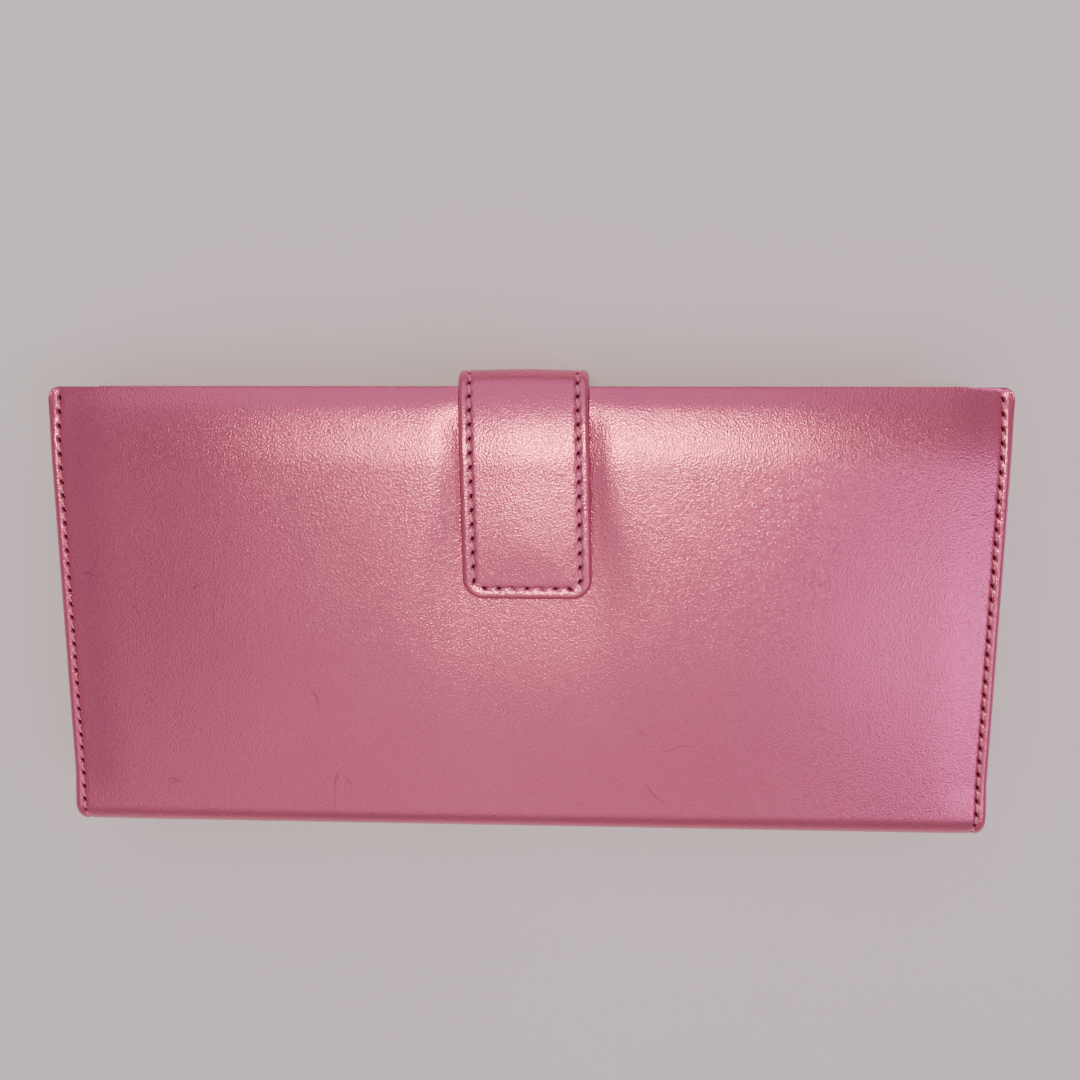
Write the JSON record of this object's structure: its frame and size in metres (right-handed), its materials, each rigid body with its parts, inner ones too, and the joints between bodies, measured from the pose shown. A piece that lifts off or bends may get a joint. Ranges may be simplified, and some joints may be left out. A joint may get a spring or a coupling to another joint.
{
  "type": "long wallet",
  "caption": "Long leather wallet that opens like a book, with a strap tab over the opening edge, a hidden snap, a zip coin pocket and stepped card slots.",
  "frame": {"origin": "middle of the back cover's outer face, which the wallet lies on", "axes": "+X along the width, +Y from the spine to the opening edge, +Z from the back face to the front face"},
  "size_m": [0.19, 0.0953, 0.0248],
  "materials": {
    "leather": "smooth pink leather, fine pebble grain, satin",
    "lining": "matt twill lining",
    "board": "grey stiffening board",
    "zip_tape": "woven polyester tape",
    "zip_metal": "polished pale gold",
    "snap_metal": "polished pale gold",
    "clear_window": "clear vinyl"
  },
  "bodies": {
    "back_half": {"back_cover_leather": "leather", "back_board": "board", "back_note_pocket": "lining", "strap_root": "leather", "coin_pocket_rear": "lining", "coin_pocket_front": "leather", "zip_tape_upper": "zip_tape", "zip_tape_lower": "zip_tape", "zip_teeth_upper": "zip_metal", "zip_teeth_lower": "zip_metal", "zip_stop_closed_upper": "zip_metal", "zip_stop_closed_lower": "zip_metal", "zip_stop_open": "zip_metal", "back_card_slot_left_1": "leather", "back_card_slot_left_2": "leather", "back_card_slot_left_3": "leather", "back_card_slot_right_1": "leather", "back_card_slot_right_2": "leather", "back_card_slot_right_3": "leather"},
    "spine": {"spine_leather": "leather", "spine_board": "board", "spine_lining": "lining", "back_crease": "leather", "front_crease": "leather"},
    "front_half": {"front_cover_leather": "leather", "front_board": "board", "front_note_pocket": "lining", "front_card_slot_1": "leather", "front_card_slot_2": "leather", "front_card_slot_3": "leather", "window_backing": "leather", "clear_window": "clear_window", "window_frame": "leather", "snap_stud": "snap_metal", "snap_stud_base": "snap_metal"},
    "strap_riser": {"strap_riser_leather": "leather", "strap_riser_lining": "leather", "strap_lower_bend": "leather", "strap_upper_bend": "leather"},
    "strap_tab": {"strap_tab_leather": "leather", "strap_tab_lining": "leather", "snap_socket": "snap_metal", "snap_cap": "snap_metal"},
    "slider": {"zip_slider": "zip_metal"},
    "puller": {"zip_puller": "zip_metal"}
  },
  "joints": [
    {"name": "spine_hinge", "type": "hinge", "parent": "back_half", "child": "spine", "pos_m": [0, -0.04453, 0.00147], "axis": [1, 0, 0], "range_deg": [0, 90], "deforming": ["back_crease", "front_crease", "strap_tab_leather", "strap_tab_lining", "snap_socket", "snap_cap"]},
    {"name": "cover_hinge", "type": "hinge", "parent": "spine", "child": "front_half", "pos_m": [0, -0.04453, 0.02103], "axis": [1, 0, 0], "range_deg": [0, 90]},
    {"name": "strap_hinge", "type": "hinge", "parent": "back_half", "child": "strap_riser", "pos_m": [0, 0.04774, 0.00276], "axis": [-1, 0, 0], "range_deg": [0, 90], "deforming": ["strap_lower_bend", "strap_upper_bend"]},
    {"name": "tab_hinge", "type": "hinge", "parent": "strap_riser", "child": "strap_tab", "pos_m": [0, 0.04755, 0.02305], "axis": [-1, 0, 0], "range_deg": [0, 90]},
    {"name": "zip_slide", "type": "slide", "parent": "back_half", "child": "slider", "axis": [-1, 0, 0], "range_m": [0, 0.138], "deforming": ["zip_teeth_upper", "zip_teeth_lower"]},
    {"name": "puller_swing", "type": "hinge", "parent": "slider", "child": "puller", "pos_m": [0.0698, 0.033, 0.0121], "axis": [0, 0, 1], "range_deg": [-30, 30]}
  ],
  "couplings": [
    {"joint": "cover_hinge", "follows": "spine_hinge", "ratio": 1},
    {"joint": "tab_hinge", "follows": "strap_hinge", "ratio": 1}
  ]
}
